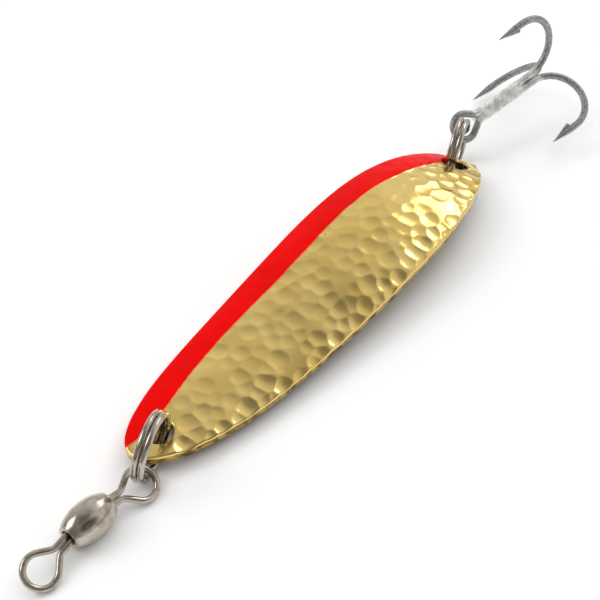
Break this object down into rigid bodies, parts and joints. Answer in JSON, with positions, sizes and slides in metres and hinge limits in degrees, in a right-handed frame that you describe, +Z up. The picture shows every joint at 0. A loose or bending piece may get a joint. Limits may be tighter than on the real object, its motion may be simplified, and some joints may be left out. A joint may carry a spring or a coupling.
{
  "type": "spoon lure",
  "caption": "Arched, crowned metal casting spoon with split rings, a barrel swivel at the narrow end and a treble hook at the wide end.",
  "frame": {"origin": "under the middle of the whole lure's bounding box, on the surface that the lure lies on", "axes": "+X along the blade from the swivel end to the hook end, +Z up with the crowned painted face upwards"},
  "size_m": [0.1056, 0.0168, 0.017],
  "materials": {
    "brass": "polished, hammered, with a glossy red enamel stripe along one edge",
    "nickel": "polished nickel plate",
    "tinned_steel": "dull tinned steel",
    "braze": "rough tinned brazing"
  },
  "bodies": {
    "blade": {"spoon_blade": "brass"},
    "front_ring": {"front_split_ring": "nickel"},
    "lure_eye": {"swivel_lure_eye": "nickel"},
    "barrel": {"swivel_barrel": "nickel"},
    "line_eye": {"swivel_line_eye": "nickel"},
    "rear_ring": {"rear_split_ring": "nickel"},
    "hook": {"hook_double_wire": "tinned_steel", "hook_single_wire": "tinned_steel", "hook_braze": "braze"}
  },
  "joints": [
    {"name": "front_ring_turn", "type": "hinge", "parent": "blade", "child": "front_ring", "pos_m": [-0.03313, -0.00161, 0.00414], "axis": [0.3451, -0.9302, -0.125], "range_deg": [-120, 2]},
    {"name": "lure_eye_swing", "type": "hinge", "parent": "front_ring", "child": "lure_eye", "pos_m": [-0.03591, -0.00225, 0.00136], "axis": [0.5274, 0.3022, -0.7941], "range_deg": [-45, 45]},
    {"name": "barrel_spin", "type": "hinge", "parent": "lure_eye", "child": "barrel", "pos_m": [-0.04331, -0.00207, 0.00215], "axis": [1, 0, 0], "continuous": true},
    {"name": "line_eye_spin", "type": "hinge", "parent": "barrel", "child": "line_eye", "pos_m": [-0.04331, -0.00207, 0.00215], "axis": [1, 0, 0], "continuous": true},
    {"name": "rear_ring_turn", "type": "hinge", "parent": "blade", "child": "rear_ring", "pos_m": [0.03082, 0.00195, 0.00419], "axis": [0.3481, -0.9333, -0.088], "range_deg": [-60, 90]},
    {"name": "hook_swing", "type": "hinge", "parent": "rear_ring", "child": "hook", "pos_m": [0.03408, 0.00304, 0.00541], "axis": [-0.3168, -0.2754, 0.9076], "range_deg": [-60, 60]}
  ]
}
